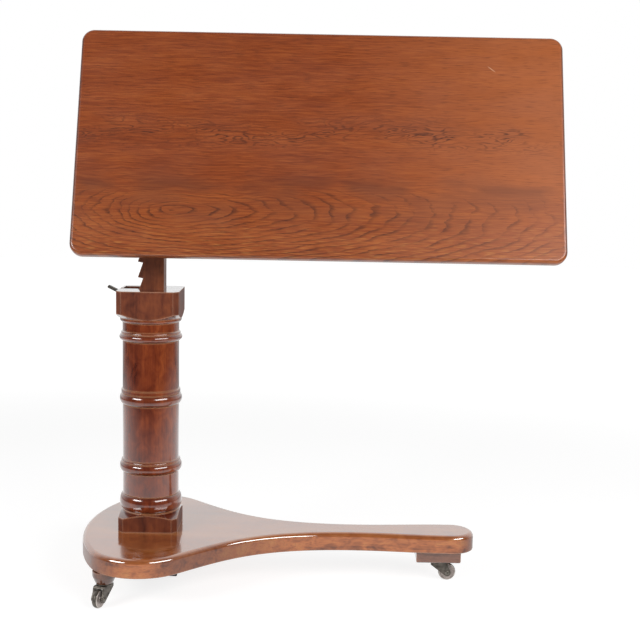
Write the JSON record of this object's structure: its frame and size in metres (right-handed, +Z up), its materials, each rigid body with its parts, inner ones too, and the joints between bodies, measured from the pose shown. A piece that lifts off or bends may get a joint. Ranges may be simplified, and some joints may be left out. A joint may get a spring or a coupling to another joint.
{
  "type": "tilt-top reading table",
  "caption": "Wooden bedside reading table: a long tilting top on a toothed post that slides in a turned hollow pillar, on a pear-shaped platform with castors.",
  "frame": {"origin": "on the floor, under the middle of the top's length and the middle of the platform's depth", "axes": "+Z up, +X along the top away from the pillar, +Y away from the reader"},
  "size_m": [0.77, 0.3718, 0.8981],
  "materials": {
    "mahogany_top": "polished red-brown mahogany, figured grain",
    "mahogany": "dark red-brown mahogany, French polished",
    "dark_board": "unpolished darkened board",
    "iron": "dark grey iron, dull",
    "wheel_iron": "brown-grey worn iron",
    "steel": "plain aged steel",
    "brass": "dull brass"
  },
  "bodies": {
    "stand": {"base_board": "mahogany", "base_batten": "dark_board", "castor_block_front": "mahogany", "castor_block_rear": "mahogany", "castor_block_arm": "mahogany", "castor_socket_front": "iron", "castor_socket_rear": "iron", "castor_socket_arm": "iron", "pillar": "mahogany", "pillar_screw_1": "steel", "pillar_screw_2": "steel", "pillar_screw_3": "steel", "pillar_screw_4": "steel", "catch_pin": "steel", "catch_spring": "steel"},
    "catch": {"height_catch": "iron"},
    "post": {"ratchet_post": "mahogany", "head_block": "mahogany", "head_dowel": "mahogany", "pivot_rod": "iron", "pivot_washer": "steel", "pivot_nut": "steel", "bolt_plate": "brass", "bolt_plate_screw_1": "brass", "bolt_plate_screw_2": "brass", "bolt_spring": "steel"},
    "bolt": {"tilt_bolt": "steel", "bolt_knob": "brass"},
    "top": {"top_board": "mahogany_top", "bearer_left": "mahogany", "bearer_right": "mahogany", "end_batten": "mahogany", "bearer_screw_1": "steel", "bearer_screw_2": "steel", "bearer_screw_3": "steel", "bearer_screw_4": "steel", "bearer_screw_5": "steel", "bearer_screw_6": "steel", "tilt_quadrant": "iron", "quadrant_screw_1": "steel", "quadrant_screw_2": "steel"},
    "swivel_front": {"castor_horn_front": "iron", "castor_axle_front": "steel"},
    "swivel_rear": {"castor_horn_rear": "iron", "castor_axle_rear": "steel"},
    "swivel_arm": {"castor_horn_arm": "iron", "castor_axle_arm": "steel"},
    "wheel_front": {"castor_wheel_front": "wheel_iron"},
    "wheel_rear": {"castor_wheel_rear": "wheel_iron"},
    "wheel_arm": {"castor_wheel_arm": "wheel_iron"}
  },
  "joints": [
    {"name": "post_slide", "type": "slide", "parent": "stand", "child": "post", "axis": [0, 0, 1], "range_m": [-0.0762, 0.2286]},
    {"name": "top_tilt", "type": "hinge", "parent": "post", "child": "top", "pos_m": [-0.273, 0, 0.706], "axis": [1, 0, 0], "range_deg": [-70.2, 0]},
    {"name": "tilt_bolt_pull", "type": "slide", "parent": "post", "child": "bolt", "axis": [-1, 0, 0], "range_m": [0, 0.008], "stiffness_N_per_m": 400, "springref_m": -0.01, "deforming": ["bolt_spring"]},
    {"name": "height_catch_pull", "type": "slide", "parent": "stand", "child": "catch", "axis": [-1, 0, 0], "range_m": [0, 0.009], "stiffness_N_per_m": 300, "springref_m": -0.008, "deforming": ["catch_spring"]},
    {"name": "castor_front_swivel", "type": "hinge", "parent": "stand", "child": "swivel_front", "pos_m": [-0.326, -0.144, 0.03], "axis": [0, 0, 1], "continuous": true},
    {"name": "castor_rear_swivel", "type": "hinge", "parent": "stand", "child": "swivel_rear", "pos_m": [-0.326, 0.144, 0.03], "axis": [0, 0, 1], "continuous": true},
    {"name": "castor_arm_swivel", "type": "hinge", "parent": "stand", "child": "swivel_arm", "pos_m": [0.209, 0, 0.03], "axis": [0, 0, 1], "continuous": true},
    {"name": "castor_front_roll", "type": "hinge", "parent": "swivel_front", "child": "wheel_front", "pos_m": [-0.33237, -0.15976, 0.0145], "axis": [0.9272, -0.3746, 0], "continuous": true},
    {"name": "castor_rear_roll", "type": "hinge", "parent": "swivel_rear", "child": "wheel_rear", "pos_m": [-0.33993, 0.13425, 0.0145], "axis": [0.5736, -0.8192, 0], "continuous": true},
    {"name": "castor_arm_roll", "type": "hinge", "parent": "swivel_arm", "child": "wheel_arm", "pos_m": [0.226, 0, 0.0145], "axis": [0, 1, 0], "continuous": true}
  ]
}
